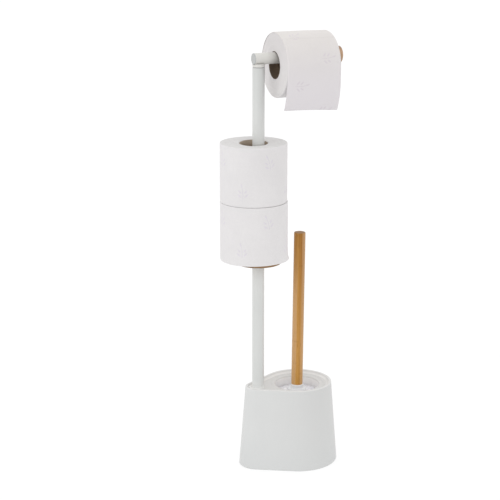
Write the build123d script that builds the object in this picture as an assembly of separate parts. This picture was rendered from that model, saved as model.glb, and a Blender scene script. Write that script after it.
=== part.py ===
from build123d import *
import math
import os

os.makedirs("parts", exist_ok=True)

# Free-standing toilet brush holder with a roll post.
# Millimetres. Origin on the floor under the post's axis, +X from the post to the brush and
# along the roll arm, +Z up.

# ---------------------------------------------------------------- driving dimensions
# base: the plan is the hull of a small circle round the post and a large one round the brush well
BASE_H = 140.0          # rim height
BASE_D = 73.1           # post axis to the centre of the large end
LIFT = 0.2              # lower edge of the shell above the floor
R1_BOT, R2_BOT = 32.1, 68.3
DRAFT_IN = 10.7         # how far the wall leans in from bottom to rim
WALL = 2.6
RIM_W = 4.2             # the rim is thicker than the wall below it
DECK_TOP, DECK_T = 134.6, 3.0
DISH_SLOPE = 35.0       # lean of the rim's inner side, from upright
BOTTOM_R = 2.0          # rounding of the lower edge
RIM_R = 1.9
DECK_FILLET = 5.0       # inside corner between deck and rim
# brush well
WELL_X = 72.6
WELL_R_TOP, WELL_R_BOT = 37.2, 36.4
CUP_WALL, CUP_FLOOR = 1.8, 2.0
CUP_BOTTOM = 40.0
CUP_FLANGE_R, CUP_FLANGE_T = 44.5, 1.5
SEAT_GAP = 0.15
MOUTH_R = 2.3           # the cup's mouth is rolled over
DECK_HOLE_R = 40.0
# post
POST_R, POST_WALL = 10.0, 1.2
POST_FOOT = 38.0        # post stands on the ballast
BOSS_R, BOSS_LOW = 11.8, 96.0
SHELF_R, SHELF_T, SHELF_TOP = 38.0, 7.0, 362.6
POST_TOP = 678.5
INSERT_L = 28.0
# arm
ARM_Z, ARM_R, ARM_WALL = 692.5, 9.3, 1.2
ARM_X0, ARM_X1 = -8.0, 136.0
PLUG_CAP = 1.5
SEAM = 1.1
COLLAR_TOP = 684.6
PIN_R, PIN_LOW = 7.0, 641.0
STOP_R, STOP_X1 = 14.0, 144.0
# rolls
ROLL_L = 97.3
CORE_RI, CORE_T = 21.5, 0.8
SPARE = {"lower": (55.7, -6.46, 2.93), "upper": (55.1, -7.13, 3.22)}     # radius and place of each
HANG_R, HANG_X0, HANG_L = 52.8, 27.2, 96.9
HANG_Z = ARM_Z + ARM_R + 0.3 - CORE_RI
TAIL_T, TAIL_GAP, TAIL_ARC_R, TAIL_DROP = 0.5, 0.35, 183.0, 70.0
TAIL_WRAP = 205.0       # degrees of the outer layer that belong to the loose end
# brush
BRUSH_X = 74.0
HANDLE_R, HANDLE_LOW, HANDLE_TOP = 9.6, 134.0, 400.0
NECK_R = 10.8
HUB_R, HUB_LOW, HUB_TOP = 16.0, 121.5, 126.8
BRISTLE_R, BRISTLE_TOP, BRISTLE_LOW = 30.5, 122.5, 44.0
BRUSH_LEAN, LEAN_Z = 0.67, 293.0    # the brush stands a little askew in its cup: degrees, and the height at which it is on its axis
THREAD_R = 3.95         # M8
# fasteners and feet
FOOT_R, FOOT_T = 9.0, 1.6
COVER_Z0, COVER_Z1 = 1.6, 4.2
PILLAR_R, PILLAR_TOP = 4.0, 40.0

LOW = (Align.CENTER, Align.CENTER, Align.MIN)
nodes = {}


def cyl(r, z0, z1, x=0.0, y=0.0):
    """Upright cylinder."""
    return Pos(x, y, z0) * Cylinder(r, z1 - z0, align=LOW)


def xcyl(r, x0, x1, z, y=0.0):
    """Cylinder along +X."""
    return Pos(x0, y, z) * Rot(0, 90, 0) * Cylinder(r, x1 - x0, align=LOW)


def drop(r1, r2, z, d=BASE_D):
    """Drop-shaped plan: the hull of two circles on the X axis."""
    k = (r2 - r1) / d
    n = (-k, math.sqrt(1 - k * k))
    a_up, a_dn = (r1 * n[0], r1 * n[1]), (r1 * n[0], -r1 * n[1])
    b_up, b_dn = (d + r2 * n[0], r2 * n[1]), (d + r2 * n[0], -r2 * n[1])
    edges = [
        ThreePointArc(a_up, (-r1, 0), a_dn),
        Line(a_dn, b_dn),
        ThreePointArc(b_dn, (d + r2, 0), b_up),
        Line(b_up, a_up),
    ]
    face = make_face(edges).faces()[0]
    if face.normal_at().Z < 0:
        face = -face
    return Pos(0, 0, z) * face


TAPER = math.degrees(math.atan(DRAFT_IN / (BASE_H - LIFT)))


def lean(z):
    """Inward lean of the wall at height z."""
    return DRAFT_IN * (z - LIFT) / (BASE_H - LIFT)


def tapered(inset, z0, z1):
    """Solid that follows the base's wall at a constant inset."""
    s = inset + lean(z0)
    return extrude(drop(R1_BOT - s, R2_BOT - s, z0), z1 - z0, taper=TAPER)


def add(name, shape):
    solids = shape if isinstance(shape, list) else [shape]
    out = []
    for s in solids:
        out.extend(list(s.solids()))
    nodes[name] = out[0] if len(out) == 1 else Compound(children=out)


# ---------------------------------------------------------------- base
outer = tapered(0.0, LIFT, BASE_H)
low_edges = [e for e in outer.edges() if abs(e.center().Z - LIFT) < 0.01]
outer = fillet(low_edges, BOTTOM_R)
cavity = tapered(WALL, LIFT - 0.5, DECK_TOP - DECK_T)
dip = BASE_H - DECK_TOP
foot = DRAFT_IN + RIM_W + dip * math.tan(math.radians(DISH_SLOPE))
recess = extrude(drop(R1_BOT - foot, R2_BOT - foot, DECK_TOP), dip + 1.5, taper=-DISH_SLOPE)
shell = outer - cavity - recess

# screw pillars inside the large end, each tied to the wall by a rib
pillar_at = [(59.0, 0.0), (59.0, 115.0), (59.0, -115.0)]
pillars = None
for rad, ang in pillar_at:
    c, s = math.cos(math.radians(ang)), math.sin(math.radians(ang))
    p = cyl(PILLAR_R, COVER_Z1, PILLAR_TOP, BASE_D + rad * c, rad * s)
    rib = Pos(BASE_D + (rad + 4) * c, (rad + 4) * s, COVER_Z1) * Rot(0, 0, ang) * Box(
        10, 2.4, PILLAR_TOP - COVER_Z1, align=LOW
    )
    both = p + rib
    pillars = both if pillars is None else pillars + both
pillars = pillars & tapered(WALL * 0.5, LIFT, PILLAR_TOP + 5)
shell = shell + pillars
# post socket: a boss that reaches down inside
shell = shell + cyl(BOSS_R, BOSS_LOW, DECK_TOP - 0.5)
shell = shell - cyl(POST_R + 0.05, 60, BASE_H + 5)
shell = shell - cyl(DECK_HOLE_R, 100, BASE_H + 5, WELL_X)
# seat that lets the cup's flange lie flush with the deck
shell = shell - cyl(CUP_FLANGE_R + SEAT_GAP, DECK_TOP - CUP_FLANGE_T, BASE_H + 5, WELL_X)
for rad, ang in pillar_at:
    c, s = math.cos(math.radians(ang)), math.sin(math.radians(ang))
    shell = shell - cyl(1.5, COVER_Z1 - 1, 20.0, BASE_D + rad * c, rad * s)
rim_edges = [
    e for e in shell.edges() if abs(e.center().Z - BASE_H) < 0.05 and e.length > 15
]
shell = fillet(rim_edges, RIM_R)
# soft inside corner where the deck meets the rim
deck_edges = [
    e for e in shell.edges()
    if abs(e.center().Z - DECK_TOP) < 0.02 and abs(e.bounding_box().size.Z) < 0.02
    and abs((e @ 0.5 - Vector(WELL_X, 0, DECK_TOP)).length - CUP_FLANGE_R - SEAT_GAP) > 0.5
    and (e @ 0.5 - Vector(0, 0, DECK_TOP)).length > POST_R + 1.0
]
shell = fillet(deck_edges, DECK_FILLET)
add("base_shell", shell)

# cover plate, with counterbores for its screws
cover = tapered(WALL + 0.4, COVER_Z0, COVER_Z1)
for rad, ang in pillar_at:
    c, s = math.cos(math.radians(ang)), math.sin(math.radians(ang))
    px, py = BASE_D + rad * c, rad * s
    cover = cover - cyl(3.4, COVER_Z0 - 1, 3.2, px, py) - cyl(1.7, 0, 6, px, py)
add("base_cover", cover)

screws = []
for rad, ang in pillar_at:
    c, s = math.cos(math.radians(ang)), math.sin(math.radians(ang))
    px, py = BASE_D + rad * c, rad * s
    screw = cyl(3.1, 1.7, 3.2, px, py) + cyl(1.45, 3.2, 17.0, px, py)
    screw = screw - Pos(px, py, 1.7) * Box(3.6, 0.8, 1.4) - Pos(px, py, 1.7) * Box(0.8, 3.6, 1.4)
    screws.append(screw)
add("cover_screws", screws)

# one foot under the post, three round the large end
foot_at = [(0, 0), (BASE_D + 44, 0), (BASE_D - 8, 44), (BASE_D - 8, -44)]
feet = []
for fx, fy in foot_at:
    f = cyl(FOOT_R, 0, FOOT_T, fx, fy)
    feet.append(chamfer(f.edges().sort_by(Axis.Z)[:1], 0.4))
add("rubber_feet", feet)

# cast ballast with notches for the pillars and a counterbore for the anchor bolt
ballast = tapered(WALL + 1.2, COVER_Z1, POST_FOOT)
for rad, ang in pillar_at:
    c, s = math.cos(math.radians(ang)), math.sin(math.radians(ang))
    ballast = ballast - cyl(5.2, 0, 60, BASE_D + rad * c, rad * s)
    ballast = ballast - Pos(BASE_D + (rad + 6) * c, (rad + 6) * s, 0) * Rot(0, 0, ang) * Box(
        14, 10.4, 60, align=LOW
    )
ballast = ballast - cyl(12.0, 0, 16.0) - cyl(4.4, 0, 60)
add("ballast_block", ballast)

# ---------------------------------------------------------------- post
add("lower_post", cyl(POST_R, POST_FOOT, SHELF_TOP - SHELF_T)
    - cyl(POST_R - POST_WALL, POST_FOOT - 1, SHELF_TOP))
upper = cyl(POST_R, SHELF_TOP, POST_TOP) - cyl(POST_R - POST_WALL, SHELF_TOP - 1, POST_TOP + 1)
upper = chamfer(
    [e for e in upper.edges().filter_by(GeomType.CIRCLE)
     if abs(e.center().Z - POST_TOP) < 0.01 and abs(e.radius - POST_R) < 0.01], 0.35)
add("upper_post", upper)


def insert(z0):
    return cyl(POST_R - POST_WALL - 0.03, z0, z0 + INSERT_L) - cyl(THREAD_R + 0.05, z0 - 1, z0 + INSERT_L + 1)


add("post_inserts", [insert(POST_FOOT), insert(SHELF_TOP - SHELF_T - INSERT_L), insert(SHELF_TOP)])
add("anchor_washer", cyl(11.0, 14.4, 16.0) - cyl(4.3, 14, 17))
hexa = Pos(0, 0, 8.6) * extrude(RegularPolygon(7.5, 6), 5.8)
add("anchor_bolt", hexa + cyl(THREAD_R, 14.0, 62.0))
add("joiner_stud", chamfer(
    cyl(THREAD_R, SHELF_TOP - SHELF_T - 22, SHELF_TOP + 22).edges().filter_by(GeomType.CIRCLE), 0.6))
shelf = cyl(SHELF_R, SHELF_TOP - SHELF_T, SHELF_TOP) - cyl(THREAD_R + 0.25, 300, 400)
shelf = fillet(
    [e for e in shelf.edges().filter_by(GeomType.CIRCLE) if e.radius > 30], 0.9)
add("roll_shelf", shelf)

# bush in the post's top; its flange is the ring under the arm
bush = cyl(POST_R - POST_WALL - 0.05, PIN_LOW, POST_TOP) + cyl(9.3, POST_TOP, POST_TOP + SEAM)
bush = bush - cyl(PIN_R + 0.05, PIN_LOW - 1, POST_TOP + 5)
add("swivel_bush", bush)

# ---------------------------------------------------------------- arm
arm = xcyl(ARM_R, ARM_X0, ARM_X1, ARM_Z) + cyl(POST_R, POST_TOP + SEAM, COLLAR_TOP)
arm = arm - xcyl(ARM_R - ARM_WALL, ARM_X0 - 1, ARM_X1 + 1, ARM_Z)
arm = arm - cyl(PIN_R, POST_TOP, 683.2)
arm = arm - Pos(ARM_X0, 0, 683.2) * Box(10, 30, 10, align=(Align.MAX, Align.CENTER, Align.MIN))
arm = chamfer(
    [e for e in arm.edges().filter_by(GeomType.CIRCLE)
     if abs(e.center().Z - POST_TOP - SEAM) < 0.01 and abs(e.radius - POST_R) < 0.01], 0.35)
add("arm_tube", arm)
add("pivot_pin", cyl(PIN_R, PIN_LOW, 683.2))
plug = xcyl(ARM_R - ARM_WALL - 0.03, ARM_X0, ARM_X0 + 14, ARM_Z) + xcyl(ARM_R, ARM_X0 - PLUG_CAP, ARM_X0, ARM_Z)
plug = fillet(
    [e for e in plug.edges().filter_by(GeomType.CIRCLE) if abs(e.center().X - ARM_X0 + PLUG_CAP) < 0.01], PLUG_CAP - 0.1)
add("arm_end_plug", plug)
add("end_stop_insert", xcyl(ARM_R - ARM_WALL - 0.03, ARM_X1 - 24, ARM_X1, ARM_Z)
    - xcyl(3.0, ARM_X1 - 30, ARM_X1 + 5, ARM_Z))
add("end_stop_stud", xcyl(2.95, ARM_X1 - 20, STOP_X1 - 3.4, ARM_Z))
stop = xcyl(STOP_R, ARM_X1, STOP_X1, ARM_Z) - xcyl(3.0, ARM_X1 - 1, STOP_X1 - 3, ARM_Z)
stop = fillet([e for e in stop.edges().filter_by(GeomType.CIRCLE) if e.radius > 13], 1.1)
add("end_stop", stop)


# ---------------------------------------------------------------- rolls
def roll(r, length):
    """Wound paper and its core, upright, standing on z = 0."""
    paper = cyl(r, 0, length) - cyl(CORE_RI + CORE_T, -1, length + 1)
    paper = fillet([e for e in paper.edges().filter_by(GeomType.CIRCLE) if e.radius > r - 0.1], 1.6)
    core = cyl(CORE_RI + CORE_T, 0, length) - cyl(CORE_RI, -1, length + 1)
    return paper, core


for name, z0 in (("lower", SHELF_TOP + 0.1), ("upper", SHELF_TOP + 0.2 + ROLL_L)):
    r, px, py = SPARE[name]
    paper, core = roll(r, ROLL_L)
    place = Pos(px, py, z0)
    add(f"{name}_roll_paper", place * paper)
    add(f"{name}_roll_core", place * core)

paper, core = roll(HANG_R, HANG_L)
place = Pos(HANG_X0, 0, HANG_Z) * Rot(0, 90, 0)
add("hanging_roll_paper", place * paper)
add("hanging_roll_core", place * core)

# loose end: the outer layer comes over the top, leaves the roll at the front and curls in below
r_in, r_out = HANG_R + TAIL_GAP, HANG_R + TAIL_GAP + TAIL_T


def on_roll(r, deg):
    a = math.radians(deg)
    return (0, r * math.cos(a), HANG_Z + r * math.sin(a))


def on_tail(extra, share):
    a = math.asin(TAIL_DROP / TAIL_ARC_R) * share
    r = TAIL_ARC_R + extra
    return (0, (TAIL_ARC_R - r_in) - r * math.cos(a), HANG_Z - r * math.sin(a))


t0 = 180.0 - TAIL_WRAP
loop = [
    ThreePointArc(on_roll(r_in, t0), on_roll(r_in, (t0 + 180) / 2), on_roll(r_in, 180)),
    ThreePointArc(on_tail(0, 0), on_tail(0, 0.5), on_tail(0, 1)),
    Line(on_tail(0, 1), on_tail(TAIL_T, 1)),
    ThreePointArc(on_tail(TAIL_T, 1), on_tail(TAIL_T, 0.5), on_tail(TAIL_T, 0)),
    ThreePointArc(on_roll(r_out, 180), on_roll(r_out, (t0 + 180) / 2), on_roll(r_out, t0)),
    Line(on_roll(r_out, t0), on_roll(r_in, t0)),
]
tail_face = make_face(loop)
tail = extrude(tail_face, HANG_L - 0.8, dir=(1, 0, 0))
add("paper_tail", Pos(HANG_X0 + 0.4, 0, 0) * tail)

# ---------------------------------------------------------------- drip cup
flange_z = DECK_TOP - CUP_FLANGE_T + 0.05
profile = [
    (0, CUP_BOTTOM), (WELL_R_BOT + CUP_WALL, CUP_BOTTOM), (WELL_R_TOP + CUP_WALL, flange_z),
    (CUP_FLANGE_R, flange_z), (CUP_FLANGE_R, flange_z + CUP_FLANGE_T),
    (WELL_R_TOP, flange_z + CUP_FLANGE_T), (WELL_R_BOT, CUP_BOTTOM + CUP_FLOOR),
    (0, CUP_BOTTOM + CUP_FLOOR),
]
cup = revolve(Plane.XZ * make_face(Polyline(*profile, close=True)), Axis.Z)
cup_edges = [
    e for e in cup.edges().filter_by(GeomType.CIRCLE)
    if abs(e.center().Z - flange_z - CUP_FLANGE_T) < 0.01
]
cup = fillet([e for e in cup_edges if e.radius > WELL_R_TOP + 3], 0.25)
mouth_edges = [
    e for e in cup.edges().filter_by(GeomType.CIRCLE)
    if abs(e.center().Z - flange_z - CUP_FLANGE_T) < 0.01 and e.radius < WELL_R_TOP + 1
]
cup = fillet(mouth_edges, MOUTH_R)
floor_edges = [
    e for e in cup.edges().filter_by(GeomType.CIRCLE)
    if abs(e.center().Z - CUP_BOTTOM - CUP_FLOOR) < 0.01 or abs(e.center().Z - CUP_BOTTOM) < 0.01
]
cup = fillet(floor_edges, 1.6)
add("drip_cup", Pos(WELL_X, 0, 0) * cup)

# ---------------------------------------------------------------- brush
def askew(shape):
    """Stand a piece of the brush in its cup."""
    return Pos(BRUSH_X, 0, LEAN_Z) * Rot(0, BRUSH_LEAN, 0) * Pos(0, 0, -LEAN_Z) * shape


handle = cyl(HANDLE_R, HANDLE_LOW, HANDLE_TOP) - cyl(THREAD_R + 0.05, HANDLE_LOW - 1, HANDLE_LOW + 20)
handle = fillet(
    [e for e in handle.edges().filter_by(GeomType.CIRCLE)
     if abs(e.center().Z - HANDLE_TOP) < 0.01], 1.4)
add("brush_handle", askew(handle))
add("handle_stud", askew(cyl(THREAD_R, HANDLE_LOW - 17, HANDLE_LOW + 18)))

# neck on a wide hub, and the tapered core that carries the tufts
core_profile = [
    (0, 60), (6.5, 62), (8.5, 68), (11.5, 112), (13.0, 118), (HUB_R, HUB_LOW), (HUB_R, HUB_TOP - 1.2),
    (HUB_R - 1.2, HUB_TOP), (NECK_R + 0.8, HUB_TOP + 0.6), (NECK_R, HUB_TOP + 1.6),
    (NECK_R, HANDLE_LOW - 0.8), (NECK_R - 0.8, HANDLE_LOW), (0, HANDLE_LOW),
]
head = revolve(Plane.XZ * make_face(Polyline(*core_profile, close=True)), Axis.Z)
head_solid = head
head = head - cyl(THREAD_R + 0.05, HANDLE_LOW - 18, HANDLE_LOW + 1)
add("brush_head_core", askew(head))

# bristles: one plain rounded body round the core
B = BRISTLE_R
bristle_profile = [
    (0, BRISTLE_LOW), (10, BRISTLE_LOW + 0.6), (19, BRISTLE_LOW + 4.5), (26, BRISTLE_LOW + 12),
    (28.8, BRISTLE_LOW + 23), (30.1, BRISTLE_LOW + 38), (B, BRISTLE_LOW + 54), (B, BRISTLE_LOW + 66),
    (29.6, BRISTLE_LOW + 74), (27, BRISTLE_TOP - 1.0), (23, BRISTLE_TOP), (16.4, BRISTLE_TOP - 0.5), (0, BRISTLE_TOP - 0.5),
]
bristles = revolve(Plane.XZ * make_face(Polyline(*bristle_profile, close=True)), Axis.Z) - head_solid
add("brush_bristles", askew(bristles))

# ---------------------------------------------------------------- write
for name, shape in nodes.items():
    export_step(shape, f"parts/{name}.step")
print(len(nodes), "nodes written")
print("tail sheet length", round(math.radians(TAIL_WRAP) * r_in + TAIL_ARC_R * math.asin(TAIL_DROP / TAIL_ARC_R), 1))
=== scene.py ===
import math
import random

import bpy
import numpy as np
from mathutils import Matrix, Vector


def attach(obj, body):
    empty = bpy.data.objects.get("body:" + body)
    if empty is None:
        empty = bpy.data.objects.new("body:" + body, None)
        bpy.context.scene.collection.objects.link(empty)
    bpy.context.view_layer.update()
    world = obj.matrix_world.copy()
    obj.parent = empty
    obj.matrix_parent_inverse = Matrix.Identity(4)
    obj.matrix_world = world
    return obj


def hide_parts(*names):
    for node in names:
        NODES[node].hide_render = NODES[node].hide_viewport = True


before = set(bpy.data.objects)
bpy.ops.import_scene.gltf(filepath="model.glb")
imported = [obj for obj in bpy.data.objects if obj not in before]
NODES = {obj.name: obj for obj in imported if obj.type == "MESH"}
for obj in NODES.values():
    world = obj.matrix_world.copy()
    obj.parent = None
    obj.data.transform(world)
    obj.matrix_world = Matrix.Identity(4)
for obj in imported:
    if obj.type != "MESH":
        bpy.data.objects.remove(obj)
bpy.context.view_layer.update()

MM = 0.001

# ------------------------------------------------------------------ dimensions shared with the CAD (metres)
POST_R = 0.0100
ROLL_L, CORE_RI, CORE_T = 0.0973, 0.0215, 0.0008
SPARE = {"lower": (0.0557, -0.00646, 0.00293, 0.3627), "upper": (0.0551, -0.00713, 0.00322, 0.4601)}
HANG_R, HANG_X0, HANG_L, HANG_Z = 0.0528, 0.0272, 0.0969, 0.6806
TAIL_ARC_R, TAIL_DROP, TAIL_WRAP = 0.183, 0.070, 205.0
BRUSH_X, LEAN, LEAN_Z = 0.0740, math.radians(0.67), 0.2930


# ------------------------------------------------------------------ small node-graph helper
class Mat:
    """A Principled material with a few short helpers for procedural nodes."""

    def __init__(self, name, **sockets):
        self.m = bpy.data.materials.new(name)
        self.m.use_nodes = True
        self.nt = self.m.node_tree
        self.nt.nodes.clear()
        self.out = self.nt.nodes.new("ShaderNodeOutputMaterial")
        self.b = self.nt.nodes.new("ShaderNodeBsdfPrincipled")
        self.nt.links.new(self.b.outputs[0], self.out.inputs[0])
        for k, v in sockets.items():
            self.b.inputs[k.replace("_", " ")].default_value = v

    def node(self, kind, **props):
        n = self.nt.nodes.new(kind)
        for k, v in props.items():
            setattr(n, k, v)
        return n

    def put(self, socket, value):
        if hasattr(value, "links"):
            self.nt.links.new(value, socket)
        elif value is not None:
            socket.default_value = value

    def coords(self, which="Object"):
        return self.node("ShaderNodeTexCoord").outputs[which]

    def scaled(self, vec, scale, rot=(0, 0, 0), loc=(0, 0, 0)):
        n = self.node("ShaderNodeMapping")
        self.put(n.inputs["Vector"], vec)
        n.inputs["Scale"].default_value = scale
        n.inputs["Rotation"].default_value = rot
        n.inputs["Location"].default_value = loc
        return n.outputs[0]

    def noise(self, vec, scale=5.0, detail=3.0, rough=0.5, dist=0.0):
        n = self.node("ShaderNodeTexNoise")
        self.put(n.inputs["Vector"], vec)
        n.inputs["Scale"].default_value = scale
        n.inputs["Detail"].default_value = detail
        n.inputs["Roughness"].default_value = rough
        n.inputs["Distortion"].default_value = dist
        return n.outputs[0]

    def voronoi(self, vec, scale=5.0, rand=1.0, feature="F1"):
        n = self.node("ShaderNodeTexVoronoi", feature=feature)
        self.put(n.inputs["Vector"], vec)
        n.inputs["Scale"].default_value = scale
        n.inputs["Randomness"].default_value = rand
        return n.outputs["Distance"]

    def white(self, value):
        n = self.node("ShaderNodeTexWhiteNoise", noise_dimensions="1D")
        self.put(n.inputs["W"], value)
        return n.outputs["Value"]

    def math(self, op, a, b=0.0, c=0.0, clamp=False):
        n = self.node("ShaderNodeMath", operation=op, use_clamp=clamp)
        self.put(n.inputs[0], a)
        self.put(n.inputs[1], b)
        self.put(n.inputs[2], c)
        return n.outputs[0]

    def smooth(self, value, lo, hi, to_lo=0.0, to_hi=1.0):
        n = self.node("ShaderNodeMapRange", interpolation_type="SMOOTHSTEP")
        self.put(n.inputs["Value"], value)
        n.inputs["From Min"].default_value = lo
        n.inputs["From Max"].default_value = hi
        n.inputs["To Min"].default_value = to_lo
        n.inputs["To Max"].default_value = to_hi
        return n.outputs[0]

    def linear(self, value, lo, hi, to_lo=0.0, to_hi=1.0):
        n = self.node("ShaderNodeMapRange")
        self.put(n.inputs["Value"], value)
        n.inputs["From Min"].default_value = lo
        n.inputs["From Max"].default_value = hi
        n.inputs["To Min"].default_value = to_lo
        n.inputs["To Max"].default_value = to_hi
        return n.outputs[0]

    def xyz(self, vec):
        n = self.node("ShaderNodeSeparateXYZ")
        self.put(n.inputs[0], vec)
        return n.outputs

    def join(self, x, y, z):
        n = self.node("ShaderNodeCombineXYZ")
        for i, v in enumerate((x, y, z)):
            self.put(n.inputs[i], v)
        return n.outputs[0]

    def mix(self, fac, a, b, blend="MIX"):
        n = self.node("ShaderNodeMix", data_type="RGBA", blend_type=blend)
        self.put(n.inputs[0], fac)
        for i, v in ((6, a), (7, b)):
            if isinstance(v, tuple) and len(v) == 3:
                v = (*v, 1.0)
            self.put(n.inputs[i], v)
        return n.outputs[2]

    def ramp(self, fac, *stops):
        n = self.node("ShaderNodeValToRGB")
        self.put(n.inputs[0], fac)
        els = n.color_ramp.elements
        while len(els) < len(stops):
            els.new(0.5)
        for e, (p, c) in zip(els, stops):
            e.position = p
            e.color = (*c, 1.0) if len(c) == 3 else c
        return n.outputs[0]

    def bump(self, height, strength, distance, normal=None):
        n = self.node("ShaderNodeBump")
        n.inputs["Strength"].default_value = strength
        n.inputs["Distance"].default_value = distance
        self.put(n.inputs["Height"], height)
        if normal is not None:
            self.put(n.inputs["Normal"], normal)
        return n.outputs[0]

    def done(self, color=None, rough=None, normal=None):
        if color is not None:
            self.put(self.b.inputs["Base Color"], color)
        if rough is not None:
            self.put(self.b.inputs["Roughness"], rough)
        if normal is not None:
            self.put(self.b.inputs["Normal"], normal)
        return self.m


# ------------------------------------------------------------------ materials
# Painted light and shade on the base's top: a lighter tone for the dish and a darker one for the flat deck.
DISH_PAINTED_LIGHT, PAINTED_TONE_MIX = (0.668, 0.665, 0.656), 0.9
DECK_PAINTED_SHADE = (0.612, 0.607, 0.595)


def moulded_plastic(name, lo, hi, rough=0.42, grain=0.10, coat=0.0, tint=None):
    """Moulded plastic: a fine satin grain, faint flow marks and slight handling dullness. tint may shade the colour further."""
    g = Mat(name, IOR=1.46, Coat_Weight=coat, Coat_Roughness=0.3)
    p = g.coords()
    broad = g.noise(p, 14.0, 3.0, 0.55)
    flow = g.noise(g.scaled(p, (30, 30, 9)), 1.0, 4.0, 0.6, 0.8)
    tone = g.math("ADD", g.math("MULTIPLY", broad, 0.6), g.math("MULTIPLY", flow, 0.4))
    color = g.mix(g.smooth(tone, 0.3, 0.7), lo, hi)
    if tint:
        color = tint(g, p, color)
    fine = g.noise(p, 2600.0, 2.0, 0.6)
    cells = g.voronoi(p, 1900.0, 1.0)
    scuff = g.noise(g.scaled(p, (260, 260, 40)), 1.0, 2.0, 0.5)
    r = g.math("ADD", g.linear(broad, 0.3, 0.7, rough - 0.05, rough + 0.05), g.linear(scuff, 0.45, 0.75, 0.0, 0.06))
    h = g.math("ADD", g.math("MULTIPLY", fine, 0.6), g.math("MULTIPLY", cells, 0.5))
    return g.done(color, r, g.bump(h, grain, 0.00008))


def painted_light_and_shade_dish(g, p, color):
    """Painted light and shade on the base: the dished top, its inner slopes and the deck round the post's foot are
    painted lighter, the flat deck takes a darker painted-shade tone, and the wall is painted greyer towards the floor
    and the large end.
    """
    c = g.xyz(p)
    n = g.xyz(g.node("ShaderNodeNewGeometry").outputs["Normal"])
    top = g.math("MULTIPLY", g.smooth(n[2], 0.15, 0.75), g.smooth(c[2], 0.1329, 0.1339))
    # Painted shade: the wall turns greyer towards the large end.
    color = g.mix(g.smooth(c[0], -0.030, 0.085, 0.0, 0.75), color, (0.566, 0.568, 0.562))
    # Painted light: the dished top is painted lighter.
    color = g.mix(g.math("MULTIPLY", top, PAINTED_TONE_MIX), color, DISH_PAINTED_LIGHT)
    deck = g.math("MULTIPLY", g.smooth(n[2], 0.82, 0.97), g.smooth(c[2], 0.1352, 0.1368, 1.0, 0.0))
    slope = g.math("MULTIPLY", g.smooth(c[2], 0.1329, 0.1339), g.math("MULTIPLY", g.smooth(n[2], 0.25, 0.45), g.smooth(n[2], 0.82, 0.97, 1.0, 0.0)))
    inside = g.smooth(c[2], 0.1374, 0.1386, 1.0, 0.0)
    slope = g.math("MULTIPLY", slope, inside)
    # Painted light: the inner slopes are painted lighter still, most at the back.
    color = g.mix(g.math("MULTIPLY", slope, g.smooth(c[1], -0.020, 0.020, 0.3, 0.65)), color, (0.820, 0.817, 0.806))
    # Painted shade: the flat deck takes a darker tone than the dish.
    color = g.mix(g.math("MULTIPLY", top, deck), color, DECK_PAINTED_SHADE)
    # Painted light: the deck and slopes round the post's foot are painted lighter.
    foot = g.math("SQRT", g.math("ADD", g.math("MULTIPLY", c[0], c[0]), g.math("MULTIPLY", c[1], c[1])))
    near = g.math("MULTIPLY", g.smooth(foot, 0.011, 0.021, 0.95, 0.0), g.smooth(c[0], -0.004, 0.010, 1.0, 0.0))
    color = g.mix(g.math("MULTIPLY", g.math("MULTIPLY", g.math("MAXIMUM", top, slope), inside), near), color, (0.870, 0.866, 0.856))
    # Painted shade: the wall turns greyer towards the floor.
    return g.mix(g.smooth(c[2], 0.0, 0.090, 0.5, 0.0), color, (0.560, 0.570, 0.568))


def painted_light_cup_inside(g, p, color):
    """Painted light inside the cup: its inner wall and floor are painted lighter, for light let through the thin wall
    and bounced round the well; the flange takes the deck's painted-shade tone.
    """
    c = g.xyz(p)
    n = g.xyz(g.node("ShaderNodeNewGeometry").outputs["Normal"])
    out = g.math("ADD", g.math("MULTIPLY", n[0], g.math("SUBTRACT", c[0], 0.0726)), g.math("MULTIPLY", n[1], c[1]))
    inner = g.smooth(out, -0.020, -0.002, 1.0, 0.0)
    floor = g.math("MULTIPLY", g.smooth(n[2], 0.5, 0.9), g.smooth(c[2], 0.050, 0.060, 1.0, 0.0))
    low = g.smooth(c[2], 0.1319, 0.1340, 1.0, 0.0)
    # Painted shade: the flange takes the deck's darker tone.
    color = g.mix(g.math("MULTIPLY", g.smooth(n[2], 0.15, 0.75), g.math("MULTIPLY", PAINTED_TONE_MIX, g.smooth(c[2], 0.1314, 0.1326))), color, DECK_PAINTED_SHADE)
    # Painted light: the inner wall and floor of the cup are painted lighter.
    return g.mix(g.math("MULTIPLY", g.math("MAXIMUM", inner, floor), low), color, (0.880, 0.876, 0.872))


def painted_light_near_rolls(g, p, color):
    """Painted light on the posts: the coat is painted lighter just above and below the spare rolls and at the post's
    foot, where the rolls and the base's rim shade it.
    """
    z = g.xyz(p)[2]
    above = g.math("MULTIPLY", g.smooth(z, 0.545, 0.665, 0.85, 0.0), g.smooth(z, 0.44, 0.46))
    below = g.math("MULTIPLY", g.smooth(z, 0.265, 0.345, 0.0, 0.72), g.smooth(z, 0.44, 0.46, 1.0, 0.0))
    low = g.smooth(z, 0.1375, 0.156, 0.95, 0.0)
    # Painted light: lighter just above and below the spare rolls and at the foot, where they shade the post.
    color = g.mix(g.math("ADD", g.math("ADD", above, below), low), color, (0.700, 0.705, 0.693))
    # Painted light: lighter still at the very foot, by the base's rim.
    return g.mix(g.smooth(z, 0.1350, 0.1435, 0.9, 0.0), color, (0.880, 0.884, 0.872))


def painted_shade_beside_roll(g, p, color):
    """Painted shade: the arm is painted darker towards and inside the hanging roll, where the roll shades it."""
    return g.mix(g.smooth(g.xyz(p)[0], 0.010, 0.030, 0.0, 0.7), color, (0.480, 0.470, 0.445))


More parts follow.
